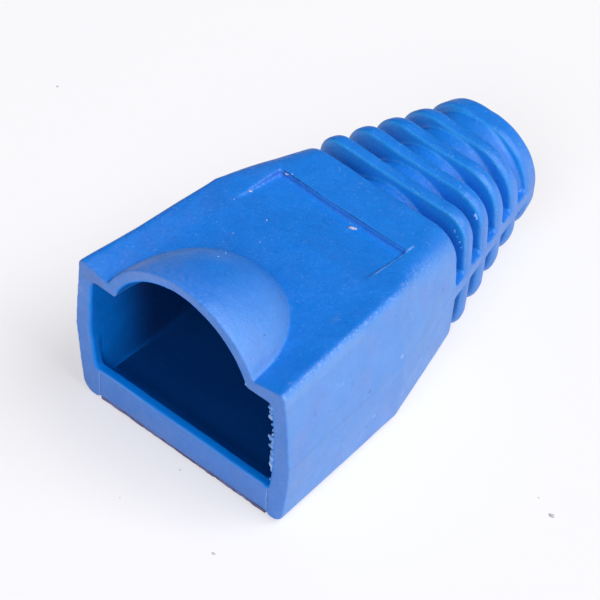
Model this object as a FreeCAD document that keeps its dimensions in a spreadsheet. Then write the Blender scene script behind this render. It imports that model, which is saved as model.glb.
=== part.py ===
import FreeCAD, Part
import Sketcher
import math
import os

# A strain relief boot for an 8P8C modular plug: one soft plastic moulding.
#
# Axes: +X across the boot, +Y from the plug mouth to the cable end, +Z up. The boot lies on its
# flat underside, and the origin is the middle of its box at that underside. Inside the body,
# stations along the boot are measured from the mouth. All sizes are in millimetres.

SIZES = {
    # The plug that the boot slides over, and the play around it.
    "plug_width": 11.7,
    "plug_height": 6.6,
    "plug_clearance": 0.1,
    # Walls around the plug.
    "floor_wall": 1.05,
    "roof_wall": 0.75,
    "mouth_side_wall": 1.03,
    "bend_side_wall": 0.75,
    # Front of the housing. It is widest at the mould parting line, and each side leans inward
    # above and below that line. Its shoulders stand up at the mouth and die out at the bend.
    "grip_length": 8.8,
    "parting_above_floor": 3.15,
    "shoulder_rise": 0.4,
    "mouth_roof_inset": 0.42,
    "mouth_base_inset": 0.6,
    "bend_roof_inset": 0.85,
    "bend_base_inset": 0.4,
    "roof_corner": 0.4,
    "base_corner": 0.9,
    "underside_trim": 0.05,
    # Rear of the housing, which closes in on the neck.
    "taper_length": 5.65,
    "rear_side_reach": 2.08,
    "rear_roof_reach": 0.68,
    "rear_inset": 0.2,
    "rear_base_rise": 0.05,
    "rear_roof_corner": 1.75,
    "rear_base_corner": 1.7,
    "neck_corner": 1.15,
    # Latch hood over the mouth: half of an egg shape, its long axis along the boot.
    "hood_rise": 2.9,
    "hood_half_span": 4.6,
    "hood_length": 6.3,
    "hood_wall": 0.65,
    # Inside: the plug stops at the bend, and the cavity closes in on the cable hole behind it.
    "cavity_side_lean": 0.2,
    "cavity_corner": 0.25,
    "cavity_stop_gap": 0.3,
    "cavity_rear_play": 0.6,
    "cavity_rear_wall": 1.5,
    "lip_rise": 0.95,
    "lip_thickness": 0.5,
    # Label recess in the roof: level with the roof at its front, deepest at its back.
    "label_width": 8.1,
    "label_lead": 0.5,
    "label_run": 2.8,
    "label_depth": 0.35,
    # Bend-relief neck: a round tube around the cable, with ribs joined on each side by a web.
    "cable_hole_diameter": 5.2,
    "cable_hole_bevel": 0.2,
    "tube_wall": 0.52,
    "groove_count": 5,
    "groove_width": 0.95,
    "rib_thickness": 0.76,
    "web_thickness": 0.8,
    "web_inset": 0.02,
    "end_ring_length": 1.26,
    "end_ring_reach": 0.1,
    "rib_round": 0.25,
    "end_round": 0.45,
}


class Length:
    """A length in millimetres with the expression that ties it to the spreadsheet."""

    def __init__(self, value, text):
        self.value = value
        self.text = text

    def __add__(self, other):
        other = as_length(other)
        return Length(self.value + other.value, f"({self.text} + {other.text})")

    def __sub__(self, other):
        other = as_length(other)
        return Length(self.value - other.value, f"({self.text} - {other.text})")

    def __mul__(self, other):
        other = as_length(other)
        return Length(self.value * other.value, f"({self.text} * {other.text})")

    def __truediv__(self, other):
        other = as_length(other)
        return Length(self.value / other.value, f"({self.text} / {other.text})")

    def __neg__(self):
        return Length(-self.value, f"(0 - {self.text})")

    def squared(self):
        return self * self


def as_length(item):
    return item if isinstance(item, Length) else Length(float(item), str(item))


def size(name):
    return Length(SIZES[name], f"Sizes.{name}")


def make_sheet(document):
    sheet = document.addObject("Spreadsheet::Sheet", "Sizes")
    for row, (name, value) in enumerate(SIZES.items(), start=1):
        sheet.set(f"A{row}", name)
        sheet.set(f"B{row}", str(value))
        sheet.setAlias(f"B{row}", name)
    document.recompute()
    return sheet


def origin_plane(body, role):
    return next(feature for feature in body.Origin.OriginFeatures if feature.Role == role)


def new_sketch(body, name, plane, offset=None):
    """A sketch on one of the body's origin planes, moved along that plane's normal by offset."""
    sketch = body.newObject("Sketcher::SketchObject", name)
    sketch.AttachmentSupport = [(origin_plane(body, plane), "")]
    sketch.MapMode = "FlatFace"
    if offset is not None:
        sketch.setExpression("AttachmentOffset.Base.z", offset.text)
    return sketch


def cross_section(body, name, station):
    """A sketch across the boot, at a station measured from the mouth; its x is X and its y is Z."""
    return new_sketch(body, name, "XZ_Plane", -as_length(station))


def place(sketch, element, point, x, y):
    """Ties one point of a sketch to a position given as two lengths."""
    for kind, coordinate in (("DistanceX", x), ("DistanceY", y)):
        if coordinate.value == 0:
            axis = -2 if kind == "DistanceX" else -1
            sketch.addConstraint(Sketcher.Constraint("PointOnObject", element, point, axis))
            continue
        ends = (-1, 1, element, point) if coordinate.value > 0 else (element, point, -1, 1)
        number = sketch.addConstraint(Sketcher.Constraint(kind, *ends, abs(coordinate.value)))
        sign = "" if coordinate.value > 0 else "0 - "
        sketch.setExpression(f"Constraints[{number}]", f"{sign}{coordinate.text}")


def add_outline(sketch, corners):
    """A closed outline through corners (x, y, radius), given counterclockwise; radius may be None."""
    count = len(corners)
    starts = []
    ends = []
    for index, (x, y, radius) in enumerate(corners):
        here = FreeCAD.Vector(x.value, y.value, 0)
        before = corners[index - 1]
        after = corners[(index + 1) % count]
        to_before = (FreeCAD.Vector(before[0].value, before[1].value, 0) - here).normalize()
        to_after = (FreeCAD.Vector(after[0].value, after[1].value, 0) - here).normalize()
        reach = 0.0
        if radius is not None:
            reach = radius.value / math.tan(to_before.getAngle(to_after) / 2)
        starts.append(here + to_before * reach)
        ends.append(here + to_after * reach)

    lines = []
    for index in range(count):
        lines.append(sketch.addGeometry(Part.LineSegment(ends[index], starts[(index + 1) % count])))
    for index, (x, y, radius) in enumerate(corners):
        line_in = lines[index - 1]
        line_out = lines[index]
        if radius is None:
            sketch.addConstraint(Sketcher.Constraint("Coincident", line_in, 2, line_out, 1))
            place(sketch, line_out, 1, x, y)
            continue
        here = FreeCAD.Vector(x.value, y.value, 0)
        middle = (starts[index] + ends[index]) * 0.5
        away = (middle - here).normalize()
        half = (starts[index] - middle).Length
        centre = middle + away * math.sqrt(radius.value**2 - half**2)
        first = math.atan2(starts[index].y - centre.y, starts[index].x - centre.x)
        last = math.atan2(ends[index].y - centre.y, ends[index].x - centre.x)
        circle = Part.Circle(centre, FreeCAD.Vector(0, 0, 1), radius.value)
        turns_left = (last - first) % (2 * math.pi) < math.pi
        if turns_left:
            arc = sketch.addGeometry(Part.ArcOfCircle(circle, first, last))
            near, far = 1, 2
        else:
            arc = sketch.addGeometry(Part.ArcOfCircle(circle, last, first))
            near, far = 2, 1
        corner = sketch.addGeometry(Part.Point(here), True)
        place(sketch, corner, 1, x, y)
        sketch.addConstraint(Sketcher.Constraint("PointOnObject", corner, 1, line_in))
        sketch.addConstraint(Sketcher.Constraint("PointOnObject", corner, 1, line_out))
        sketch.addConstraint(Sketcher.Constraint("Tangent", line_in, 2, arc, near))
        sketch.addConstraint(Sketcher.Constraint("Tangent", arc, far, line_out, 1))
        number = sketch.addConstraint(Sketcher.Constraint("Radius", arc, radius.value))
        sketch.setExpression(f"Constraints[{number}]", radius.text)


def mirrored(right_corners):
    """Corners of the right half, from the base up, followed by their mirror images."""
    left_corners = [(-x, y, radius) for x, y, radius in reversed(right_corners)]
    return right_corners + left_corners


def ruled_loft(body, name, kind, sketches):
    loft = body.newObject(kind, name)
    loft.Profile = sketches[0]
    loft.Sections = sketches[1:]
    loft.Ruled = True
    return loft


def cavity_width():
    return size("plug_width") + size("plug_clearance") * 2


def cavity_roof():
    return size("floor_wall") + size("plug_height") + size("plug_clearance") * 2


def roof_height():
    return cavity_roof() + size("roof_wall")


def axis_height():
    """The height of the parting line, which is also that of the cable axis."""
    return size("floor_wall") + size("parting_above_floor")


def tube_radius():
    return size("cable_hole_diameter") / 2 + size("tube_wall")


def bend_station():
    return size("grip_length")


def rear_station():
    return bend_station() + size("taper_length")


def groove_pitch():
    return size("groove_width") + size("rib_thickness")


def neck_end_station():
    grooves = groove_pitch() * (size("groove_count") - 1) + size("groove_width")
    return rear_station() + grooves + size("end_ring_length")


def neck_end_radius():
    return tube_radius() + size("end_ring_reach")


def rear_roof_height():
    return axis_height() + tube_radius() + size("rear_roof_reach")


def section(body, name, station, half_width, roof, base, inset, corners, feet=None):
    """An outline that is widest at the parting line; inset and corners are (roof, base) pairs."""
    right = [
        (half_width - inset[1], base, corners[1]),
        (half_width, axis_height(), None),
        (half_width - inset[0], roof, corners[0]),
    ]
    if feet is not None:
        right.append((feet, roof_height(), None))
    sketch = cross_section(body, name, station)
    add_outline(sketch, mirrored(right))
    return sketch


def bend_section(body, name, feet=None):
    """The outline where the straight part of the housing meets the taper."""
    half_width = cavity_width() / 2 + size("bend_side_wall")
    inset = (size("bend_roof_inset"), size("bend_base_inset"))
    corners = (size("roof_corner"), size("base_corner"))
    base = -size("underside_trim")
    return section(
        body, name, bend_station(), half_width, roof_height(), base, inset, corners, feet
    )


def add_housing_front(body):
    """The straight part around the plug, its shoulders dipping to the feet of the hood."""
    feet = size("hood_half_span")
    half_width = cavity_width() / 2 + size("mouth_side_wall")
    shoulders = roof_height() + size("shoulder_rise")
    inset = (size("mouth_roof_inset"), size("mouth_base_inset"))
    corners = (size("roof_corner"), size("base_corner"))
    base = -size("underside_trim")
    mouth = section(body, "MouthOutline", 0, half_width, shoulders, base, inset, corners, feet)
    bend = bend_section(body, "BendOutline", feet)
    ruled_loft(body, "HousingFront", "PartDesign::AdditiveLoft", [mouth, bend])


def add_taper(body):
    """The rear of the housing, which closes in from the bend."""
    rear = section(
        body,
        "RearOutline",
        rear_station(),
        tube_radius() + size("rear_side_reach"),
        rear_roof_height(),
        size("rear_base_rise"),
        (size("rear_inset"), size("rear_inset")),
        (size("rear_roof_corner"), size("rear_base_corner")),
    )
    bend = bend_section(body, "TaperStart")
    ruled_loft(body, "Taper", "PartDesign::AdditiveLoft", [bend, rear])


def add_neck(body):
    """The solid neck, before its grooves are cut: squarish at the housing, round at its end."""
    start = section(
        body,
        "NeckStartOutline",
        rear_station(),
        tube_radius() + size("rear_side_reach"),
        rear_roof_height(),
        size("rear_base_rise"),
        (size("rear_inset"), size("rear_inset")),
        (size("neck_corner"), size("neck_corner")),
    )
    radius = neck_end_radius()
    almost_round = radius * 0.94
    end = section(
        body,
        "NeckEndOutline",
        neck_end_station(),
        radius,
        axis_height() + radius,
        axis_height() - radius,
        (as_length(0), as_length(0)),
        (almost_round, almost_round),
    )
    ruled_loft(body, "Neck", "PartDesign::AdditiveLoft", [start, end])


def trim_underside(body):
    """A flat face for the boot to lie on, cut from the slightly deeper outlines."""
    sketch = new_sketch(body, "TrimOutline", "XY_Plane")
    side = cavity_width()
    front = -size("grip_length")
    back = rear_station() * 2
    add_outline(sketch, [(side, front, None), (side, back, None), (-side, back, None), (-side, front, None)])
    trim = body.newObject("PartDesign::Pocket", "Underside")
    trim.Profile = sketch
    trim.setExpression("Length", (size("underside_trim") * 2).text)
    body.Tip = trim


def hood_radius():
    """The radius of the arch that rises by hood_rise over twice hood_half_span."""
    rise = size("hood_rise")
    return (size("hood_half_span").squared() + rise.squared()) / (rise * 2)


def add_half_egg(body, name, kind, across, along):
    """The upper half of an egg shape whose widest section is at the mouth."""
    egg = body.newObject(kind, name)
    egg.AttachmentSupport = [(origin_plane(body, "XZ_Plane"), "")]
    egg.MapMode = "FlatFace"
    centre_height = roof_height() + size("hood_rise") - hood_radius()
    egg.setExpression("AttachmentOffset.Base.y", centre_height.text)
    egg.setExpression("Radius1", along.text)
    egg.setExpression("Radius2", across.text)
    egg.setExpression("Radius3", across.text)
    egg.Angle1 = -90
    egg.Angle2 = 0
    egg.Angle3 = 180
    return egg


def add_circle(sketch, radius, height):
    """A circle on the middle line of a cross section, its centre at a height."""
    centre = FreeCAD.Vector(0, height.value, 0)
    circle = sketch.addGeometry(Part.Circle(centre, FreeCAD.Vector(0, 0, 1), radius.value))
    place(sketch, circle, 3, as_length(0), height)
    number = sketch.addConstraint(Sketcher.Constraint("Radius", circle, radius.value))
    sketch.setExpression(f"Constraints[{number}]", radius.text)


def add_grooves(body):
    """One groove behind the housing, down to the tube all around, repeated along the neck."""
    sketch = cross_section(body, "GrooveOutline", rear_station())
    add_circle(sketch, tube_radius(), axis_height())
    add_circle(sketch, cavity_width(), axis_height())
    groove = body.newObject("PartDesign::Pocket", "Groove")
    groove.Profile = sketch
    groove.setExpression("Length", size("groove_width").text)
    pattern = body.newObject("PartDesign::LinearPattern", "Grooves")
    pattern.Originals = [groove]
    pattern.Direction = (sketch, ["N_Axis"])
    pattern.Reversed = True
    body.Tip = pattern
    pattern.setExpression("Length", (groove_pitch() * (size("groove_count") - 1)).text)
    pattern.setExpression("Occurrences", "Sizes.groove_count")


def add_webs(body):
    """A flat web through the ribs at the parting line, a hair narrower than they are."""
    half_thickness = size("web_thickness") / 2
    wide = tube_radius() + size("rear_side_reach") - size("web_inset")
    narrow = neck_end_radius() - size("web_inset")
    front = rear_station()
    back = neck_end_station() - size("end_ring_length") / 2
    slope = (wide - narrow) / (neck_end_station() - rear_station())
    narrow = wide - slope * (back - front)
    sketch = new_sketch(body, "WebOutline", "XY_Plane", axis_height())
    corners = [(wide, front, None), (narrow, back, None), (-narrow, back, None), (-wide, front, None)]
    add_outline(sketch, corners)
    webs = body.newObject("PartDesign::Pad", "Webs")
    webs.Profile = sketch
    webs.Midplane = True
    webs.setExpression("Length", (half_thickness * 2).text)
    body.Tip = webs


def crosswise_edges(shape, station, radius_above):
    """Names of the edges that lie in the plane of a station, farther out than a radius."""
    axis = FreeCAD.Vector(0, station, axis_height().value)
    names = []
    for number, edge in enumerate(shape.Edges, start=1):
        box = edge.BoundBox
        if box.YLength > 0.001 or abs(box.YMin - station) > 0.001:
            continue
        middle = edge.valueAt((edge.FirstParameter + edge.LastParameter) / 2)
        if (middle - axis).Length > radius_above:
            names.append(f"Edge{number}")
    return names


def round_edges(body, name, kind, edges, amount):
    """A fillet or chamfer on edges of the body as it is so far."""
    base = body.Tip
    feature = body.newObject(kind, name)
    feature.Base = (base, edges)
    feature.setExpression("Radius" if kind == "PartDesign::Fillet" else "Size", amount.text)
    body.Tip = feature
    return feature


def add_rib_rounds(document, body):
    """Rounded rims on the ribs and the end ring."""
    document.recompute()
    shape = body.Shape
    outside = tube_radius().value + 0.01
    edges = []
    for groove in range(SIZES["groove_count"]):
        front = rear_station().value + groove * groove_pitch().value
        edges += crosswise_edges(shape, front, outside)
        edges += crosswise_edges(shape, front + SIZES["groove_width"], outside)
    round_edges(body, "RibRounds", "PartDesign::Fillet", edges, size("rib_round"))
    document.recompute()
    edges = crosswise_edges(body.Shape, neck_end_station().value, 0)
    round_edges(body, "EndRound", "PartDesign::Fillet", edges, size("end_round"))


def add_label_recess(body):
    """A wedge cut from the roof behind the hood, deepest at its back wall."""
    front = bend_station() - size("label_lead")
    back = bend_station() + size("label_run")
    slope = (roof_height() - rear_roof_height()) / size("taper_length")
    floor_at_back = roof_height() - slope * size("label_run") - size("label_depth")
    above = roof_height() + size("shoulder_rise")
    sketch = new_sketch(body, "LabelProfile", "YZ_Plane")
    corners = [
        (front, roof_height(), None),
        (back, floor_at_back, None),
        (back, above, None),
        (front, above, None),
    ]
    add_outline(sketch, corners)
    recess = body.newObject("PartDesign::Pocket", "LabelRecess")
    recess.Profile = sketch
    recess.Midplane = True
    recess.setExpression("Length", size("label_width").text)
    body.Tip = recess


def cavity_section(body, name, station, base):
    """The outline of the plug cavity at one station, its floor at base."""
    lean = (size("cavity_side_lean"), size("cavity_side_lean") * 2)
    corners = (size("cavity_corner"), size("cavity_corner"))
    half_width = cavity_width() / 2
    return section(body, name, station, half_width, cavity_roof(), base, lean, corners)


def add_cavity(body):
    """The room for the plug, with a lip across the foot of the mouth to hold it."""
    lip = as_length(0) + size("lip_thickness")
    mouth = cavity_section(body, "MouthOpening", 0, size("floor_wall") + size("lip_rise"))
    opening = body.newObject("PartDesign::Pocket", "Mouth")
    opening.Profile = mouth
    opening.setExpression("Length", lip.text)
    body.Tip = opening
    front = cavity_section(body, "CavityFront", lip, size("floor_wall"))
    stop_station = bend_station() - size("cavity_stop_gap")
    stop = cavity_section(body, "CavityStop", stop_station, size("floor_wall"))
    half_rear = size("cable_hole_diameter") / 2 + size("cavity_rear_play")
    rear_corner = half_rear * 0.9
    rear = section(
        body,
        "CavityRear",
        rear_station() - size("cavity_rear_wall"),
        half_rear,
        axis_height() + half_rear,
        axis_height() - half_rear,
        (as_length(0), as_length(0)),
        (rear_corner, rear_corner),
    )
    ruled_loft(body, "Cavity", "PartDesign::SubtractiveLoft", [front, stop, rear])


def add_cable_hole(document, body):
    """The hole along the neck, from the back of the cavity, bevelled at the cable end."""
    sketch = cross_section(body, "CableHoleOutline", rear_station() - size("cavity_rear_wall"))
    add_circle(sketch, size("cable_hole_diameter") / 2, axis_height())
    hole = body.newObject("PartDesign::Pocket", "CableHole")
    hole.Profile = sketch
    hole.Type = "ThroughAll"
    body.Tip = hole
    document.recompute()
    outer = size("cable_hole_diameter").value / 2
    end = neck_end_station().value
    rims = [
        name
        for name in crosswise_edges(body.Shape, end, outer - 0.01)
        if name not in crosswise_edges(body.Shape, end, outer + 0.01)
    ]
    round_edges(body, "CableHoleBevel", "PartDesign::Chamfer", rims, size("cable_hole_bevel"))


def add_hood_inside(body):
    across = hood_radius() - size("hood_wall")
    along = size("hood_length") - size("hood_wall")
    add_half_egg(body, "HoodInside", "PartDesign::SubtractiveEllipsoid", across, along)


def check(document, body):
    """Stops the build when a feature has failed or the result isn't one sound solid."""
    for item in document.Objects:
        if "Invalid" in item.State or "Error" in item.State:
            raise RuntimeError(f"{item.Name} has failed: {item.getStatusString()}")
    shape = body.Shape
    if shape.isNull() or not shape.isValid() or len(shape.Solids) != 1:
        raise RuntimeError("the boot is not one valid solid")


def main():
    document = FreeCAD.newDocument("StrainReliefBoot")
    make_sheet(document)
    body = document.addObject("PartDesign::Body", "Boot")
    body.Label = "boot"
    add_housing_front(body)
    add_taper(body)
    add_neck(body)
    trim_underside(body)
    add_half_egg(body, "Hood", "PartDesign::AdditiveEllipsoid", hood_radius(), size("hood_length"))
    add_grooves(body)
    add_rib_rounds(document, body)
    add_webs(body)
    add_label_recess(body)
    add_cavity(body)
    add_hood_inside(body)
    add_cable_hole(document, body)
    body.setExpression("Placement.Base.y", (-(neck_end_station() / 2)).text)
    document.recompute()
    check(document, body)
    os.makedirs("parts", exist_ok=True)
    body.Shape.exportStep(f"parts/{body.Label}.step")
    print(body.Label, body.Shape.BoundBox)


main()
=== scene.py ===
import math
import random

import bmesh
import bpy
from mathutils import Matrix, Vector, noise
from mathutils.bvhtree import BVHTree


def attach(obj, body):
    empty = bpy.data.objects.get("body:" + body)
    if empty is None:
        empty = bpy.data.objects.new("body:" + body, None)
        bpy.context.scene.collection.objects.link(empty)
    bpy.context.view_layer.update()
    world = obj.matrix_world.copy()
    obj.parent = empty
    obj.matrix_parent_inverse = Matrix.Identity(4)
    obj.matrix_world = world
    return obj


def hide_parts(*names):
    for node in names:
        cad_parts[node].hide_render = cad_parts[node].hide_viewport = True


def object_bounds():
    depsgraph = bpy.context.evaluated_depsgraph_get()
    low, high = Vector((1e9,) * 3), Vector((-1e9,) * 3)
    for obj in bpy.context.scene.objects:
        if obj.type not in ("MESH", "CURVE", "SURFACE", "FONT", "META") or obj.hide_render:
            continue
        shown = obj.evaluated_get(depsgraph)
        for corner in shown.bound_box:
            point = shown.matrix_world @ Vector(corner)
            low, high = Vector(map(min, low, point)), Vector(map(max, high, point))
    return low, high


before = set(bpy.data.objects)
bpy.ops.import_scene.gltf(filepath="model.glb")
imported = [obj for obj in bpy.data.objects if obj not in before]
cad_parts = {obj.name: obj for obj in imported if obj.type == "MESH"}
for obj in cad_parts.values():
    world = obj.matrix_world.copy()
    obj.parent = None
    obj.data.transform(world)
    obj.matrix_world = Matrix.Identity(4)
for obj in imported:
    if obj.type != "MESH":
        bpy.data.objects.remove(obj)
cad_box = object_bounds()
MM = 0.001

# The boot's box in millimetres: +x is its right, +y runs back from the mouth and +z is up.
LOW = [value / MM for value in cad_box[0]]
HIGH = [value / MM for value in cad_box[1]]
MOUTH = LOW[1]

# Places on the drawn boot, in millimetres. Those along the boot count back from the mouth.
LIP_TOP = 2.0
PARTING_HEIGHT = 4.2
MIDDLE_HEIGHT = 4.4
ROOF_FOOT = 7.6  # the roof and the hood lie above this height
HOOD_LENGTH = 6.3
HOOD_HALF_SPAN = 4.6
LABEL_BACK = 11.6
LABEL_HALF_WIDTH = 4.05
NECK_START = 14.5

RIGHTWARDS = Vector((1.0, 0.0, 0.0))
BACKWARDS = Vector((0.0, 1.0, 0.0))
DOWNWARDS = Vector((0.0, 0.0, -1.0))


# ---------------------------------------------------------------- the moulding

VOXEL = 0.08
SMOOTHING_ROUNDS = 3
EASING_ROUNDS = 60
MOST_TRIANGLES = 190000

# How far this example strays from the drawn form, in millimetres.
LEAN = 0.022  # drop of the top for each millimetre to the right
END_DROOP = 0.10
LEFT_EDGE_DROP = 0.13
LEFT_EDGE_RISE = 0.24
FOOT_SPLAY = 0.21
REAR_SPREAD = 0.07
RIGHT_CREST_WEAR = 0.09
LEFT_CREST_WEAR = 0.04
CREST_REACH = 0.9
FOOT_RECESS = 0.14
# Waves of the whole surface: how many for each millimetre, and how high.
WAVES = [(0.35, 0.05), (1.3, 0.012)]
WAVE_SEED = 4


def copy_in_millimetres(node, name):
    """A new object with the CAD node's mesh, scaled to millimetres so that modifiers work well."""
    mesh = node.data.copy()
    mesh.transform(Matrix.Scale(1 / MM, 4))
    mesh.materials.clear()
    piece = bpy.data.objects.new(name, mesh)
    bpy.context.scene.collection.objects.link(piece)
    return piece


def apply_modifiers(piece):
    """Replaces the piece's mesh by what its modifiers make of it."""
    depsgraph = bpy.context.evaluated_depsgraph_get()
    mesh = bpy.data.meshes.new_from_object(piece.evaluated_get(depsgraph))
    piece.modifiers.clear()
    old = piece.data
    piece.data = mesh
    bpy.data.meshes.remove(old)


def soften(piece):
    """Rounds every edge a little, as a soft moulding's are."""
    remesh = piece.modifiers.new("voxels", "REMESH")
    remesh.mode = "VOXEL"
    remesh.voxel_size = VOXEL
    smooth = piece.modifiers.new("smooth", "SMOOTH")
    smooth.factor = 0.5
    smooth.iterations = SMOOTHING_ROUNDS
    apply_modifiers(piece)


def thin_out(piece):
    """Keeps the triangle count in hand."""
    triangles = 2 * len(piece.data.polygons)
    thin = piece.modifiers.new("thin", "DECIMATE")
    thin.ratio = min(1.0, MOST_TRIANGLES / triangles)
    apply_modifiers(piece)


def smooth_step(value, low, high):
    """0 below low, 1 above high and an even curve between the two."""
    share = min(max((value - low) / (high - low), 0.0), 1.0)
    return share * share * (3.0 - 2.0 * share)


def shoulder_share(point):
    """1 on the crease between the roof's middle and its raised shoulders, 0 away from it."""
    across = abs(point.x)
    behind = point.y - MOUTH
    hood_edge = HOOD_HALF_SPAN * math.sqrt(max(1.0 - (behind / HOOD_LENGTH) ** 2, 0.0))
    start = max(hood_edge + 0.2, 3.6)
    share = smooth_step(across, start, start + 0.5) * (1.0 - smooth_step(across, 5.0, 5.5))
    share *= smooth_step(point.z, ROOF_FOOT - 0.6, ROOF_FOOT)
    share *= smooth_step(behind, 0.8, 2.2) * (1.0 - smooth_step(behind, 7.0, 8.5))
    return share


def ease_roof(piece):
    """Blurs the crease between the roof's middle and its raised shoulders."""
    group = piece.vertex_groups.new(name="roof")
    for vertex in piece.data.vertices:
        share = shoulder_share(vertex.co)
        if share > 0.0:
            group.add([vertex.index], share, "REPLACE")
    ease = piece.modifiers.new("ease", "SMOOTH")
    ease.factor = 0.5
    ease.iterations = EASING_ROUNDS
    ease.vertex_group = "roof"
    apply_modifiers(piece)


def rise(point, behind):
    """How far up a point of this example lies from where it is drawn."""
    level = min(max(point.z / HIGH[2], 0.0), 1.0)
    end_right = smooth_step(behind, NECK_START, 24.0) * smooth_step(point.x, -2.0, 2.0)
    roof_left = smooth_step(-point.x, 0.0, 4.0) * smooth_step(level, 0.3, 0.7)
    left_edge = LEFT_EDGE_RISE * smooth_step(behind, 1.0, 13.0) - LEFT_EDGE_DROP
    return left_edge * roof_left - LEAN * point.x * level - END_DROOP * end_right


def spread(point, behind):
    """How far to the right a point of this example lies from where it is drawn."""
    low = 1.0 - smooth_step(point.z, 0.0, 7.0)
    forward = 1.0 - smooth_step(behind, 0.0, 11.0)
    right = smooth_step(point.x, 0.0, 5.0)
    outwards = FOOT_SPLAY * low * forward + REAR_SPREAD * smooth_step(behind, 9.0, 13.0)
    crest = math.exp(-(((point.z - PARTING_HEIGHT) / CREST_REACH) ** 2))
    crest *= smooth_step(abs(point.x), 5.0, 6.0)
    wear = RIGHT_CREST_WEAR if point.x > 0.0 else -LEFT_CREST_WEAR
    return outwards * right - wear * crest


def recess(point, behind):
    """How far back a point at the foot of the bar below the mouth lies from where it is drawn."""
    foot = (1.0 - smooth_step(point.z, 0.08, 0.28)) * (1.0 - smooth_step(behind, 0.2, 0.6))
    return FOOT_RECESS * foot * (1.0 - smooth_step(abs(point.x), 5.3, 5.6))


def settle(point):
    """Where a point of the drawn form ends up on the real, slightly uneven moulding."""
    behind = point.y - MOUTH
    moved = point + Vector((spread(point, behind), recess(point, behind), rise(point, behind)))
    for scale, wave_height in WAVES:
        moved += noise.noise_vector(point * scale) * wave_height
    return Vector([min(max(value, least), most) for value, least, most in zip(moved, LOW, HIGH)])


def surface_of(piece):
    """The piece's surface as a tree that rays are cast at."""
    points = [vertex.co.copy() for vertex in piece.data.vertices]
    faces = [tuple(face.vertices) for face in piece.data.polygons]
    return BVHTree.FromPolygons(points, faces)


def ride_with_boot(piece):
    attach(piece, "root")


def make_boot():
    """Stands the softened, settled moulding in for the CAD node; gives its surface in millimetres."""
    piece = copy_in_millimetres(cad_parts["boot"], "boot_moulding")
    soften(piece)
    ease_roof(piece)
    noise.seed_set(WAVE_SEED)
    for vertex in piece.data.vertices:
        vertex.co = settle(vertex.co)
    thin_out(piece)
    surface = surface_of(piece)
    piece.data.transform(Matrix.Scale(MM, 4))
    piece.data.shade_smooth()
    piece.data.materials.append(boot_material())
    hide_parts("boot")
    ride_with_boot(piece)
    return surface


# ---------------------------------------------------------------- burr, flash and dust

# Burr left on the mouth's right inner edge: height, half length up the edge, reach inwards.
EDGE_BURR = [
    (7.45, 0.18, 0.22),
    (7.15, 0.16, 0.17),
    (6.80, 0.13, 0.25),
    (6.40, 0.07, 0.10),
    (6.05, 0.06, 0.07),
    (5.75, 0.08, 0.09),
    (5.42, 0.17, 0.28),
    (5.15, 0.11, 0.14),
    (4.88, 0.14, 0.25),
    (4.48, 0.21, 0.17),
    (4.10, 0.27, 0.19),
    (3.70, 0.29, 0.17),
    (3.36, 0.23, 0.10),
    (2.60, 0.05, 0.06),
]
# Burr on the arch under the hood and at its feet: across, height, radius.
ARCH_BURR = [
    (3.62, 8.78, 0.13),
    (3.40, 9.10, 0.05),
    (3.92, 7.84, 0.12),
    (4.45, 7.70, 0.06),
    (4.95, 7.62, 0.07),
    (-2.20, 9.90, 0.05),
]
# Specks on the upper faces: across, behind the mouth, length.
TOP_SPECKS = [
    (-4.01, 9.31, 0.13),
    (-3.64, 11.62, 0.10),
    (-3.42, 11.76, 0.06),
    (0.94, 11.20, 0.17),
    (1.08, 11.30, 0.13),
    (-1.99, 8.28, 0.05),
    (-2.56, 6.49, 0.05),
    (-1.22, 6.93, 0.04),
    (-4.11, 8.26, 0.05),
    (-0.77, 3.96, 0.05),
    (-0.50, 3.15, 0.06),
]
# Crumbs caught in the grooves by the first two ribs: across, behind the mouth, height, radius.
GROOVE_CRUMBS = [
    (4.10, 15.40, 6.98, 0.06),
    (3.90, 15.40, 7.13, 0.035),
    (4.31, 15.40, 6.70, 0.05),
    (4.12, 15.40, 6.86, 0.04),
    (3.62, 15.40, 7.22, 0.03),
    (4.46, 15.38, 6.45, 0.05),
    (4.62, 15.34, 6.20, 0.035),
    (4.20, 15.40, 6.35, 0.03),
    (4.04, 17.09, 6.78, 0.11),
    (4.14, 17.09, 6.66, 0.07),
]
# Dust on the floor: across, behind the mouth, radius.
FLOOR_DUST = [
    (15.74, 9.29, 0.16),
    (5.50, -3.48, 0.10),
    (-23.43, 15.15, 0.09),
    (14.60, 9.76, 0.06),
    (0.77, -0.74, 0.05),
    (-0.11, -3.99, 0.05),
]
# The mouth's burr lies this far behind its front face.
BURR_DEPTH = 0.12
# A nib on the left parting crest, at the mouth: its height and its reach along each axis.
NIB_HEIGHT = 4.4
NIB_REACHES = (0.08, 0.12, 0.16)
# The flash at the foot of the bar below the mouth.
FLASH_LEFT = -5.25
FLASH_RIGHT = 5.60
FLASH_STEPS = 150
FLASH_FOOT = 0.06
FLASH_TOP = 0.22
FLASH_THICKNESS = 0.12
LUMP_ROUGHNESS = 0.55
SPECK_SEED = 4


def add_lump(lumps, centre, reaches, turn=0.0):
    """One rough little lump, with half its size along each axis in reaches."""
    made = bmesh.ops.create_icosphere(lumps, subdivisions=2, radius=1.0)
    offset = Vector(centre) * 7.0
    rotation = Matrix.Rotation(turn, 3, "Z")
    for vertex in made["verts"]:
        rough = 1.0 + LUMP_ROUGHNESS * noise.noise(vertex.co * 1.6 + offset)
        shape = Vector([along * reach for along, reach in zip(vertex.co * rough, reaches)])
        vertex.co = Vector(centre) + rotation @ shape


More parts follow.
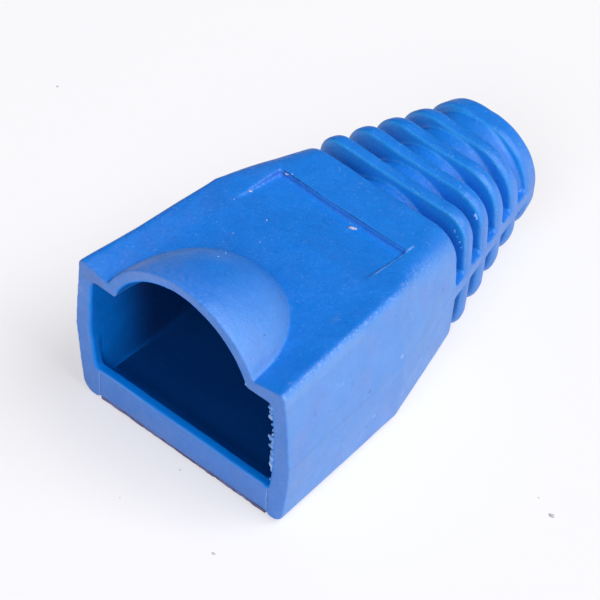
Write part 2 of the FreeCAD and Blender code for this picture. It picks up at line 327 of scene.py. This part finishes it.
def finish_lumps(lumps, name, material):
    """Turns the gathered shapes, in millimetres, into an object in metres."""
    mesh = bpy.data.meshes.new(name)
    lumps.to_mesh(mesh)
    lumps.free()
    mesh.transform(Matrix.Scale(MM, 4))
    mesh.materials.append(material)
    mesh.shade_smooth()
    piece = bpy.data.objects.new(name, mesh)
    bpy.context.scene.collection.objects.link(piece)
    return piece


def make_burr(surface):
    lumps = bmesh.new()
    inside = MOUTH + BURR_DEPTH
    for height, half, reach in EDGE_BURR:
        wall = surface.ray_cast(Vector((0.0, inside, height)), RIGHTWARDS)[0]
        add_lump(lumps, (wall.x - 0.4 * reach, inside + 0.02, height), (reach, 0.10, half))
    for across, height, radius in ARCH_BURR:
        start = Vector((0.0, inside, 6.0))
        wall = surface.ray_cast(start, Vector((across, inside, height)) - start)[0]
        add_lump(lumps, (wall.x, inside + 0.02, wall.z), (radius, 0.9 * radius, radius))
    nib = surface.ray_cast(Vector((LOW[0] - 1.0, inside, NIB_HEIGHT)), RIGHTWARDS)[0]
    add_lump(lumps, (nib.x + 0.07, inside + 0.05, NIB_HEIGHT), NIB_REACHES)
    for across, behind, height, radius in GROOVE_CRUMBS:
        add_lump(lumps, (across, MOUTH + behind, height), (radius, 0.7 * radius, 1.3 * radius))
    ride_with_boot(finish_lumps(lumps, "burr_and_crumbs", burr_material()))


def flash_section(surface, across):
    """The flash's four corners, along and up, where it crosses this place."""
    coarse = noise.noise(Vector((across * 1.3, 0.0, 2.0)))
    fine = noise.noise(Vector((across * 4.0, 5.0, 0.0)))
    low = max(FLASH_FOOT + 0.06 * (coarse + 0.5 * fine), 0.0)
    high = FLASH_TOP + 0.05 * noise.noise(Vector((across * 2.0, 9.0, 0.0)))
    face = surface.ray_cast(Vector((across, MOUTH - 1.0, 0.40)), BACKWARDS)[0]
    front = max(face.y + 0.03 * noise.noise(Vector((across * 4.0, 0.0, 7.0))), MOUTH)
    back = front + FLASH_THICKNESS
    return [(front, low), (front, high), (back, high), (back, low)]


def make_flash(surface):
    """A ragged sliver along the foot of the bar below the mouth, coloured dark as painted shade."""
    flash = bmesh.new()
    rings = []
    for step in range(FLASH_STEPS + 1):
        across = FLASH_LEFT + (FLASH_RIGHT - FLASH_LEFT) * step / FLASH_STEPS
        corners = flash_section(surface, across)
        rings.append([flash.verts.new((across, along, height)) for along, height in corners])
    for before, after in zip(rings, rings[1:]):
        for corner in range(4):
            beside = (corner + 1) % 4
            flash.faces.new((before[corner], before[beside], after[beside], after[corner]))
    flash.faces.new(rings[0])
    flash.faces.new(list(reversed(rings[-1])))
    bmesh.ops.recalc_face_normals(flash, faces=flash.faces)
    ride_with_boot(finish_lumps(flash, "mouth_flash", shaded_flash_material()))


def make_specks(surface):
    rng = random.Random(SPECK_SEED)
    lumps = bmesh.new()
    for across, behind, length in TOP_SPECKS:
        above = Vector((across, MOUTH + behind, HIGH[2] + 1.0))
        spot = surface.ray_cast(above, DOWNWARDS)[0]
        turn = rng.uniform(0.0, math.pi)
        add_lump(lumps, spot, (length, 0.6 * length, 0.3 * length), turn)
    ride_with_boot(finish_lumps(lumps, "surface_specks", speck_material()))


def make_floor_dust():
    lumps = bmesh.new()
    for across, behind, radius in FLOOR_DUST:
        centre = (across, MOUTH + behind, LOW[2] + 0.2 * radius)
        add_lump(lumps, centre, (radius, 0.6 * radius, 0.3 * radius))
    finish_lumps(lumps, "floor_dust", dust_material())


# ---------------------------------------------------------------- node helpers


class Nodes:
    """Short calls for building one material's node tree; places are in millimetres."""

    def __init__(self, name):
        self.material = bpy.data.materials.new(name)
        self.material.use_nodes = True
        self.tree = self.material.node_tree
        self.tree.nodes.clear()
        self.output = self.tree.nodes.new("ShaderNodeOutputMaterial")
        place = self.tree.nodes.new("ShaderNodeTexCoord")
        scale = self.add("ShaderNodeVectorMath", operation="SCALE")
        scale.inputs["Scale"].default_value = 1 / MM
        self.link(place.outputs["Object"], scale.inputs[0])
        self.millimetres = scale.outputs[0]
        self.normal = place.outputs["Normal"]

    def add(self, kind, **settings):
        node = self.tree.nodes.new(kind)
        for key, value in settings.items():
            setattr(node, key, value)
        return node

    def link(self, source, target):
        self.tree.links.new(source, target)

    def fill(self, socket, value):
        """Gives a socket a number, a colour or another node's result."""
        if isinstance(value, (int, float)):
            socket.default_value = value
        elif isinstance(value, tuple):
            socket.default_value = (*value, 1.0)
        else:
            self.link(value, socket)

    def plastic(self):
        """The shader that the object's materials are made of."""
        shader = self.add("ShaderNodeBsdfPrincipled")
        self.link(shader.outputs[0], self.output.inputs["Surface"])
        return shader

    def parts(self, vector):
        """The three parts of a vector."""
        node = self.add("ShaderNodeSeparateXYZ")
        self.link(vector, node.inputs[0])
        return node.outputs[0], node.outputs[1], node.outputs[2]

    def maths(self, operation, first, second=0.0):
        node = self.add("ShaderNodeMath", operation=operation)
        self.fill(node.inputs[0], first)
        self.fill(node.inputs[1], second)
        return node.outputs[0]

    def product(self, *factors):
        result = factors[0]
        for factor in factors[1:]:
            result = self.maths("MULTIPLY", result, factor)
        return result

    def mix(self, factor, first, second):
        """A colour between first and second; each is a colour or a socket."""
        node = self.add("ShaderNodeMix", data_type="RGBA")
        self.fill(node.inputs["Factor"], factor)
        self.fill(node.inputs[6], first)
        self.fill(node.inputs[7], second)
        return node.outputs[2]

    def ramp(self, source, low, high, bottom=0.0, top=1.0):
        """Maps source from low..high to bottom..top, smoothly and without going past them."""
        node = self.add("ShaderNodeMapRange", interpolation_type="SMOOTHSTEP")
        node.inputs["From Min"].default_value = low
        node.inputs["From Max"].default_value = high
        node.inputs["To Min"].default_value = bottom
        node.inputs["To Max"].default_value = top
        self.link(source, node.inputs["Value"])
        return node.outputs["Result"]

    def until(self, source, low, high):
        """1 below low, 0 above high and an even curve between the two."""
        return self.ramp(source, low, high, 1.0, 0.0)

    def near(self, value, target, core, fade):
        """1 where value is within core of target, 0 where it is farther off than fade."""
        gap = self.maths("ABSOLUTE", self.maths("SUBTRACT", value, target))
        return self.until(gap, core, fade)

    def tint(self, colour, towards, *masks):
        """Moves a colour towards another, by as much as the product of the masks."""
        return self.mix(self.product(*masks), colour, towards)

    def noise(self, pattern):
        """Noise of a pattern: features in each millimetre, detail, roughness."""
        scale, detail, roughness = pattern
        texture = self.add("ShaderNodeTexNoise")
        texture.inputs["Scale"].default_value = scale
        texture.inputs["Detail"].default_value = detail
        texture.inputs["Roughness"].default_value = roughness
        self.link(self.millimetres, texture.inputs["Vector"])
        return texture.outputs["Fac"]

    def patches(self, pattern, low, high, bottom=0.0, top=1.0):
        """Noise of a pattern, mapped from low..high to bottom..top."""
        return self.ramp(self.noise(pattern), low, high, bottom, top)


# ---------------------------------------------------------------- the boot's material

BLUE = (0.0, 0.176, 0.680)
PALER_BLUE = (0.001, 0.198, 0.750)
VIOLET_BLUE = (0.055, 0.150, 0.650)
STREAK_BLUE = (0.030, 0.135, 0.520)
MOTTLE_BLUE = (0.0, 0.10, 0.50)
BLOTCH_BLUE = (0.0, 0.12, 0.52)
STAIN_BLUE = (0.0, 0.075, 0.38)
# The next four are painted: shade on the level roof, a pale sheen on the right side and on the hood,
# and light in the grooves of the neck.
SHADED_TOP = (0.0, 0.060, 0.40)
PAINTED_SIDE_SHEEN = (0.42, 0.70, 0.86)
PAINTED_HOOD_SHEEN = (0.46, 0.66, 0.90)
PAINTED_GROOVE_LIGHT = (0.0, 0.300, 0.82)
DARK_MARK = (0.01, 0.07, 0.36)
PALE_MARK = (0.36, 0.52, 0.92)
DARK_JOINT = (0.02, 0.110, 0.46)
PALE_JOINT = (0.24, 0.42, 0.84)
# The next four are painted: shade along the ragged foot of the bar below the mouth, a highlight and a
# shade at each end of the bar, and a highlight along its upper edge.
PAINTED_FOOT_SHADE = (0.09, 0.08, 0.24)
PAINTED_STEP_HIGHLIGHT = (0.20, 0.45, 0.90)
PAINTED_STEP_SHADE = (0.0, 0.06, 0.30)
PAINTED_LEDGE_HIGHLIGHT = (0.25, 0.48, 0.90)
SCUFF = (0.36, 0.48, 0.85)
# Painted highlight along the top of the hood's rim.
PAINTED_RIM_HIGHLIGHT = (0.36, 0.42, 0.90)
# The next three are painted: shade in crevices, a highlight on the label recess's right wall and
# shade on its back wall.
PAINTED_CREVICE_SHADE = (0.0, 0.070, 0.38)
PAINTED_LABEL_EDGE_HIGHLIGHT = (0.30, 0.52, 0.95)
LABEL_BACK_SHADE = (0.0, 0.015, 0.12)
GRIT = (0.34, 0.54, 0.92)
# Painted light near the mouth and painted shade deeper in, on the inner faces.
PAINTED_INSIDE_LIGHT = (0.0, 0.270, 0.96)
PAINTED_INSIDE_SHADE = (0.0, 0.022, 0.12)

# Noise patterns: features in each millimetre, detail, roughness.
CLOUDS = (0.35, 4.0, 0.55)
VIOLET_CLOUDS = (0.42, 3.0, 0.6)
STREAKS = (0.9, 3.0, 0.6)
MOTTLE = (6.0, 2.0, 0.6)
BLOTCHES = (1.3, 4.0, 0.7)
STAINS = (1.9, 2.0, 0.5)
DOTS = (7.0, 3.0, 0.6)
# Breaks up the painted highlights into patches.
HIGHLIGHT_BREAKUP = (3.5, 4.0, 0.6)
BROKEN_WEAR = (2.2, 5.0, 0.65)
FINE_GRIT = (8.5, 2.0, 0.5)
JOINT_WANDER = (0.6, 2.0, 0.5)
JOINT_PATCHES = (1.4, 3.0, 0.6)
RAGGED_FOOT = (3.2, 4.0, 0.7)
HAIRLINE_SHAKE = (2.5, 2.0, 0.5)
SHEEN_PATCHES = (1.1, 5.0, 0.6)
GRAIN = (9.0, 3.0, 0.6)
DENTS = (1.6, 4.0, 0.55)

# Marks on the right side: behind the mouth, height, radius, strength.
DARK_MARKS = [
    (11.71, 2.69, 0.13, 0.825),
    (6.15, 4.48, 0.10, 0.60),
    (6.19, 1.88, 0.12, 0.75),
    (4.91, 5.95, 0.10, 0.45),
]
PALE_MARKS = [
    (6.71, 2.27, 0.13, 0.525),
    (8.67, 4.85, 0.15, 0.45),
    (4.19, 6.43, 0.10, 0.375),
]
# Fine lines at the ends of the bar below the mouth, each a painted highlight beside a painted shade
# as at a small step: where they stand across the boot.
BAR_ENDS = (-5.36, 5.65)
BAR_HALF_WIDTH = 5.5
PLASTIC_IOR = 1.6
GRAIN_SHARE = 0.45
BUMP_STRENGTH = 0.55
BUMP_HEIGHT = 0.08


class BootNodes(Nodes):
    """The boot's material, with where a point lies on the boot and which way it faces."""

    def __init__(self, name):
        super().__init__(name)
        self.across, along, self.height = self.parts(self.millimetres)
        self.behind = self.maths("SUBTRACT", along, MOUTH)
        self.beside = self.maths("ABSOLUTE", self.across)
        self.facing_x, self.facing_y, self.facing_z = self.parts(self.normal)
        self.sideways = self.ramp(self.maths("ABSOLUTE", self.facing_x), 0.5, 0.8)
        self.pointiness = self.add("ShaderNodeNewGeometry").outputs["Pointiness"]
        self.inner = self.inner_faces()
        self.outwards = self.maths("SUBTRACT", 1.0, self.inner)
        self.mottle = self.patches(MOTTLE, 0.35, 0.65)
        self.dotted = self.patches(DOTS, 0.50, 0.64)
        # Patches that break up the painted highlights.
        self.highlight_patches = self.patches(HIGHLIGHT_BREAKUP, 0.35, 0.65, 0.3, 1.0)

    def inner_faces(self):
        """1 on faces that look at the plug space or at the cable hole."""
        below_middle = self.maths("SUBTRACT", MIDDLE_HEIGHT, self.height)
        upright_share = self.product(below_middle, self.facing_z)
        across_share = self.product(self.across, self.facing_x)
        inward = self.maths("SUBTRACT", upright_share, across_share)
        above = self.ramp(self.height, ROOF_FOOT - 0.15, ROOF_FOOT)
        behind_hood = self.ramp(self.behind, HOOD_LENGTH - 0.3, HOOD_LENGTH + 0.1)
        beside_hood = self.ramp(self.beside, HOOD_HALF_SPAN - 0.6, HOOD_HALF_SPAN - 0.4)
        roof = self.product(above, self.maths("MAXIMUM", behind_hood, beside_hood))
        return self.product(self.ramp(inward, 0.4, 2.0), self.maths("SUBTRACT", 1.0, roof))


def plastic_blue(boot):
    """Clouds of a paler and a more violet blue, with streaks on the left of the roof."""
    colour = boot.mix(boot.patches(CLOUDS, 0.3, 0.7), BLUE, PALER_BLUE)
    colour = boot.tint(
        colour,
        VIOLET_BLUE,
        boot.patches(VIOLET_CLOUDS, 0.50, 0.68),
        boot.ramp(boot.sideways, 0.0, 1.0, 0.05, 0.5),
        boot.ramp(boot.behind, NECK_START - 1.0, NECK_START + 0.5, 1.0, 0.3),
    )
    colour = boot.tint(
        colour,
        STREAK_BLUE,
        boot.until(boot.across, -5.2, -3.6),
        boot.ramp(boot.height, ROOF_FOOT, ROOF_FOOT + 0.4),
        boot.ramp(boot.height, ROOF_FOOT + 0.7, ROOF_FOOT + 1.3, 1.0, 0.2),
        boot.patches(STREAKS, 0.30, 0.60),
        0.7,
    )
    colour = boot.tint(colour, MOTTLE_BLUE, boot.mottle, 0.20)
    return boot.tint(colour, BLOTCH_BLUE, boot.patches(BLOTCHES, 0.40, 0.65), 0.12)


def painted_light_and_sheen(boot, colour):
    """Painted shade deepens the level roof, a painted pale sheen lies on the right side and the hood,
    and painted light makes the faces in the grooves of the neck greener.
    """
    # Painted shade on the level roof near the front.
    colour = boot.tint(
        colour,
        SHADED_TOP,
        boot.ramp(boot.facing_z, 0.90, 0.98),
        boot.until(boot.behind, 8.0, 10.0),
        0.08,
    )
    # A painted pale sheen on the right side.
    colour = boot.tint(
        colour,
        PAINTED_SIDE_SHEEN,
        boot.ramp(boot.facing_x, 0.35, 0.90),
        boot.ramp(boot.across, -1.0, 0.5),
        boot.outwards,
        boot.ramp(boot.behind, NECK_START - 1.0, NECK_START + 1.0, 0.14, 0.05),
    )
    # A painted pale sheen on the right of the hood.
    colour = boot.tint(
        colour,
        PAINTED_HOOD_SHEEN,
        boot.ramp(boot.facing_x, 0.1, 0.5),
        boot.ramp(boot.height, ROOF_FOOT + 0.2, ROOF_FOOT + 0.6),
        boot.until(boot.behind, HOOD_LENGTH - 0.8, HOOD_LENGTH + 0.2),
        boot.outwards,
        0.07,
    )
    # Painted light, greener, on the faces in the grooves of the neck.
    return boot.tint(
        colour,
        PAINTED_GROOVE_LIGHT,
        boot.ramp(boot.maths("ABSOLUTE", boot.facing_y), 0.35, 0.75),
        boot.ramp(boot.behind, NECK_START - 0.3, NECK_START + 0.3),
        boot.outwards,
        0.75,
    )


def marked(boot, colour):
    """Small marks from handling on the right side."""
    right_side = boot.ramp(boot.facing_x, 0.5, 0.8)
    ragged = boot.ramp(boot.mottle, 0.0, 1.0, -0.05, 0.05)
    for marks, mark_colour in ((DARK_MARKS, DARK_MARK), (PALE_MARKS, PALE_MARK)):
        for behind, height, radius, strength in marks:
            along_gap = boot.maths("SUBTRACT", boot.behind, behind)
            level_gap = boot.maths("SUBTRACT", boot.height, height)
            along_square = boot.product(along_gap, along_gap)
            level_square = boot.product(level_gap, level_gap)
            gap = boot.maths("SQRT", boot.maths("ADD", along_square, level_square))
            spot = boot.until(boot.maths("ADD", gap, ragged), 0.4 * radius, radius)
            colour = boot.tint(colour, mark_colour, spot, right_side, strength)
    return colour


def jointed(boot, colour):
    """The moulding tool's joint: a thin line along each side, dark in front and paler behind."""
    wander = boot.patches(JOINT_WANDER, 0.3, 0.7, -0.05, 0.05)
    level = boot.maths("SUBTRACT", boot.height, wander)
    return boot.tint(
        colour,
        boot.mix(boot.ramp(boot.behind, 7.0, 8.5), DARK_JOINT, PALE_JOINT),
        boot.near(level, PARTING_HEIGHT - 0.05, 0.01, 0.06),
        boot.sideways,
        boot.patches(JOINT_PATCHES, 0.30, 0.55, 0.35, 1.0),
        boot.outwards,
        boot.ramp(boot.behind, 4.0, 9.0, 0.60, 0.28),
    )


def mouth_bar(boot, colour):
    """The bar below the mouth: painted shade along its ragged foot, a painted highlight beside a
    painted shade as a fine line at each end, and a painted highlight along its upper edge.
    """
    ragged = boot.patches(RAGGED_FOOT, 0.3, 0.7, 0.08, 0.26)
    # Painted shade along the ragged foot of the bar.
    colour = boot.tint(
        colour,
        PAINTED_FOOT_SHADE,
        boot.until(boot.maths("SUBTRACT", boot.height, ragged), 0.0, 0.03),
        boot.until(boot.behind, 0.3, 0.5),
        boot.near(boot.across, 0.13, BAR_HALF_WIDTH - 0.1, BAR_HALF_WIDTH),
        0.8,
    )
    shake = boot.patches(HAIRLINE_SHAKE, 0.3, 0.7, -0.03, 0.03)
    shaken = boot.maths("SUBTRACT", boot.across, shake)
    front = boot.until(boot.behind, 0.06, 0.16)
    bar = boot.product(front, boot.until(boot.height, LIP_TOP - 0.3, LIP_TOP - 0.1))
    # At each end, a painted highlight beside a painted shade, as at a small step.
    for end in BAR_ENDS:
        colour = boot.tint(colour, PAINTED_STEP_HIGHLIGHT, boot.near(shaken, end, 0.01, 0.06), bar, 0.45)
        colour = boot.tint(colour, PAINTED_STEP_SHADE, boot.near(shaken, end + 0.09, 0.01, 0.05), bar, 0.6)
    # A painted highlight along the bar's upper edge.
    return boot.tint(
        colour,
        PAINTED_LEDGE_HIGHLIGHT,
        boot.near(boot.height, LIP_TOP - 0.05, 0.02, 0.10),
        boot.until(boot.behind, 0.05, 0.2),
        boot.until(boot.beside, BAR_HALF_WIDTH - 0.2, BAR_HALF_WIDTH + 0.1),
        0.3,
    )


def scuffs_and_rim_highlight(boot, colour):
    """Edges rubbed pale by handling, in broken patches and dots; along the top of the hood's rim, a
    painted highlight in patches.
    """
    edge = boot.ramp(boot.pointiness, 0.54, 0.62)
    edge = boot.product(edge, boot.ramp(boot.beside, 4.6, 5.6, 0.35, 1.0))
    broken = boot.product(boot.patches(BROKEN_WEAR, 0.42, 0.62), 0.16)
    worn_edge = boot.product(edge, boot.maths("ADD", broken, boot.product(boot.dotted, 0.12)))
    worn_shoulder = boot.product(
        boot.near(boot.facing_x, 0.6, 0.15, 0.4),
        boot.near(boot.facing_z, 0.7, 0.2, 0.5),
        boot.ramp(boot.beside, 4.8, 5.4, 0.12, 1.0),
        boot.dotted,
        boot.outwards,
        0.3,
    )
    colour = boot.tint(colour, SCUFF, boot.maths("MAXIMUM", worn_edge, worn_shoulder))
    # A painted highlight along the top of the hood's rim, broken into patches.
    return boot.tint(
        colour,
        PAINTED_RIM_HIGHLIGHT,
        boot.until(boot.across, -0.5, 2.5),
        boot.ramp(boot.height, 9.4, 10.5),
        boot.until(boot.behind, 0.2, 2.4),
        boot.highlight_patches,
        0.13,
    )


def painted_light_grit_and_stains(boot, colour):
    """Painted shade in crevices, a painted highlight on the label recess's right wall and painted
    shade on its back wall, grit and a few stains.
    """
    # Painted shade in the creases and hollows of the outer faces.
    crevice = boot.until(boot.pointiness, 0.40, 0.485)
    colour = boot.tint(colour, PAINTED_CREVICE_SHADE, crevice, boot.outwards, 0.4)
    # A painted highlight along the right wall of the label recess.
    colour = boot.tint(
        colour,
        PAINTED_LABEL_EDGE_HIGHLIGHT,
        boot.near(boot.across, LABEL_HALF_WIDTH + 0.05, 0.03, 0.09),
        boot.ramp(boot.height, ROOF_FOOT, ROOF_FOOT + 0.1),
        boot.near(boot.behind, LABEL_BACK - 1.0, 1.4, 1.6),
        boot.highlight_patches,
        0.55,
    )
    colour = boot.tint(
        colour,
        LABEL_BACK_SHADE,
        boot.until(boot.facing_y, -0.35, -0.20),
        boot.ramp(boot.height, ROOF_FOOT - 0.3, ROOF_FOOT - 0.1),
        boot.near(boot.behind, LABEL_BACK + 0.5, 0.4, 0.5),
        boot.until(boot.beside, LABEL_HALF_WIDTH - 0.05, LABEL_HALF_WIDTH + 0.05),
        0.9,
    )
    colour = boot.tint(
        colour,
        GRIT,
        boot.patches(FINE_GRIT, 0.64, 0.72),
        boot.outwards,
        boot.ramp(boot.behind, NECK_START - 2.0, NECK_START + 0.5, 0.18, 0.38),
    )
    return boot.tint(colour, STAIN_BLUE, boot.patches(STAINS, 0.70, 0.76), 0.3)


def darkened_inside(boot, colour):
    """Painted shade in the plug space and the cable hole, where little light gets in, and painted
    light on the inner faces near the mouth.
    """
    # Painted light on the inner faces near the mouth.
    near_mouth = boot.until(boot.behind, 1.5, 4.0)
    colour = boot.tint(colour, PAINTED_INSIDE_LIGHT, boot.inner, near_mouth, 0.7)
    # Painted shade on the inner faces deeper in.
    walls = boot.ramp(boot.behind, 1.3, 4.6)
    floor = boot.product(boot.ramp(boot.facing_z, 0.5, 0.8), boot.ramp(boot.behind, 0.6, 1.6))
    deep = boot.maths("MAXIMUM", walls, floor)
    return boot.tint(colour, PAINTED_INSIDE_SHADE, boot.inner, deep, 0.87)


def matt_finish(boot, shader):
    """A matt, finely grained surface that shines less on its upper and inner faces."""
    boot.link(boot.patches(SHEEN_PATCHES, 0.25, 0.75, 0.42, 0.56), shader.inputs["Roughness"])
    shader.inputs["IOR"].default_value = PLASTIC_IOR
    upwards = boot.maths("MAXIMUM", boot.facing_z, 0.0)
    shine = boot.ramp(upwards, 0.2, 0.95, 0.95, 0.42)
    shine = boot.product(shine, boot.ramp(boot.inner, 0.0, 1.0, 1.0, 0.2))
    boot.link(shine, shader.inputs["Specular IOR Level"])
    grain = boot.product(boot.noise(GRAIN), GRAIN_SHARE)
    bump = boot.add("ShaderNodeBump")
    bump.inputs["Strength"].default_value = BUMP_STRENGTH
    bump.inputs["Distance"].default_value = BUMP_HEIGHT * MM
    boot.link(boot.maths("ADD", grain, boot.noise(DENTS)), bump.inputs["Height"])
    boot.link(bump.outputs["Normal"], shader.inputs["Normal"])


def boot_material():
    """Soft blue PVC: faint clouds, a fine matt grain, pale scuffs on its edges, a few fine lines, and
    painted light, shade and sheen in its colour.
    """
    boot = BootNodes("boot_soft_plastic")
    shader = boot.plastic()
    colour = plastic_blue(boot)
    for change in (painted_light_and_sheen, marked, jointed, mouth_bar, scuffs_and_rim_highlight, painted_light_grit_and_stains, darkened_inside):
        colour = change(boot, colour)
    boot.link(colour, shader.inputs["Base Color"])
    matt_finish(boot, shader)
    return boot.material


# ---------------------------------------------------------------- the other materials

FLOOR_WHITE = (0.86, 0.857, 0.88)
BACKDROP_WHITE = (0.975, 0.965, 0.995)
BACKDROP_SHARE = 0.52


def crumb_material(name, dull, bright, scale, roughness):
    """A small thing's finish: two colours in patches."""
    nodes = Nodes(name)
    shader = nodes.plastic()
    patches = nodes.patches((scale, 3.0, 0.6), 0.35, 0.65)
    nodes.link(nodes.mix(patches, dull, bright), shader.inputs["Base Color"])
    shader.inputs["Roughness"].default_value = roughness
    return nodes.material


def burr_material():
    dull, bright = (0.08, 0.28, 0.76), (0.34, 0.54, 0.90)
    return crumb_material("boot_burr", dull, bright, scale=2.5, roughness=0.5)


def shaded_flash_material():
    # The flash's dark purple is painted shade, as along the shadowed foot of the bar below the mouth.
    dull, bright = (0.11, 0.09, 0.22), (0.18, 0.19, 0.42)
    return crumb_material("boot_flash_painted_shade", dull, bright, scale=2.0, roughness=0.6)


def speck_material():
    dull, bright = (0.40, 0.34, 0.52), (0.60, 0.58, 0.70)
    return crumb_material("pale_specks", dull, bright, scale=4.0, roughness=0.7)


def dust_material():
    dull, bright = (0.45, 0.44, 0.46), (0.70, 0.69, 0.72)
    return crumb_material("grey_dust", dull, bright, scale=4.0, roughness=0.8)


def floor_material():
    """A white sweep, part of whose brightness stays put in shadow, as under wide studio lights."""
    nodes = Nodes("white_floor")
    lit = nodes.add("ShaderNodeBsdfDiffuse")
    nodes.fill(lit.inputs["Color"], FLOOR_WHITE)
    glow = nodes.add("ShaderNodeEmission")
    nodes.fill(glow.inputs["Color"], BACKDROP_WHITE)
    share = nodes.add("ShaderNodeMixShader")
    path = nodes.add("ShaderNodeLightPath")
    seen = nodes.maths("MAXIMUM", path.outputs["Is Camera Ray"], path.outputs["Is Glossy Ray"])
    seen = nodes.maths("MAXIMUM", seen, path.outputs["Is Transmission Ray"])
    nodes.link(nodes.product(seen, BACKDROP_SHARE), share.inputs["Fac"])
    nodes.link(lit.outputs[0], share.inputs[1])
    nodes.link(glow.outputs[0], share.inputs[2])
    nodes.link(share.outputs[0], nodes.output.inputs["Surface"])
    return nodes.material


# ---------------------------------------------------------------- the stage

# In metres: half the floor's width, and how far it lies below the boot.
FLOOR_HALF = 2.0
FLOOR_GAP = 0.00001
SKY_WHITE = (0.97, 0.98, 1.0)


def make_floor():
    mesh = bpy.data.meshes.new("floor")
    half = FLOOR_HALF
    corners = [(-half, -half, 0), (half, -half, 0), (half, half, 0), (-half, half, 0)]
    mesh.from_pydata(corners, [], [(0, 1, 2, 3)])
    mesh.materials.append(floor_material())
    floor = bpy.data.objects.new("floor", mesh)
    floor.location.z = LOW[2] * MM - FLOOR_GAP
    bpy.context.scene.collection.objects.link(floor)


def make_lamp(name, towards, distance, size, strength):
    """A square lamp in the direction towards; strength 1 lights a facing white surface to 1."""
    lamp = bpy.data.lights.new(name, "AREA")
    lamp.size = size
    lamp.energy = strength * math.pi**2 * distance**2
    holder = bpy.data.objects.new(name, lamp)
    direction = Vector(towards).normalized()
    holder.location = direction * distance
    holder.rotation_euler = direction.to_track_quat("Z", "Y").to_euler()
    bpy.context.scene.collection.objects.link(holder)


def make_world(level):
    world = bpy.data.worlds.new("studio")
    world.use_nodes = True
    background = world.node_tree.nodes["Background"]
    background.inputs["Color"].default_value = (*SKY_WHITE, 1.0)
    background.inputs["Strength"].default_value = level
    bpy.context.scene.world = world


def make_camera():
    """A long lens, up to the right of the mouth, looking down along the boot."""
    azimuth = math.radians(39.471)
    elevation = math.radians(45.294)
    roll = math.radians(2.751)
    distance = 136.817
    aim = Vector((0.0, MOUTH + 10.0, 4.0))
    shift_right = -0.863
    shift_up = -0.525
    forward = Vector((-math.sin(azimuth), math.cos(azimuth), 0.0))
    level = Vector((math.cos(azimuth), math.sin(azimuth), 0.0))
    back = Vector((0.0, 0.0, math.sin(elevation))) - forward * math.cos(elevation)
    upright = back.cross(level)
    right = level * math.cos(roll) + upright * math.sin(roll)
    up = upright * math.cos(roll) - level * math.sin(roll)
    place = aim + right * shift_right + up * shift_up + back * distance

    camera = bpy.data.cameras.new("camera")
    camera.lens = 165.69
    camera.sensor_width = 36.0
    camera.clip_start = 0.01
    camera.clip_end = 10.0
    holder = bpy.data.objects.new("camera", camera)
    turn = Matrix((right, up, back)).transposed().to_4x4()
    holder.matrix_world = Matrix.Translation(place * MM) @ turn
    bpy.context.scene.collection.objects.link(holder)
    bpy.context.scene.camera = holder


surface = make_boot()
make_burr(surface)
make_flash(surface)
make_specks(surface)
make_floor()
make_floor_dust()
make_world(level=0.10)
make_lamp("key", towards=(0.52, 0.19, 0.83), distance=1.0, size=0.70, strength=1.0)
make_lamp("fill", towards=(0.30, -0.70, 0.65), distance=1.0, size=0.60, strength=0.50)
make_camera()
bpy.context.scene.view_settings.view_transform = "Standard"
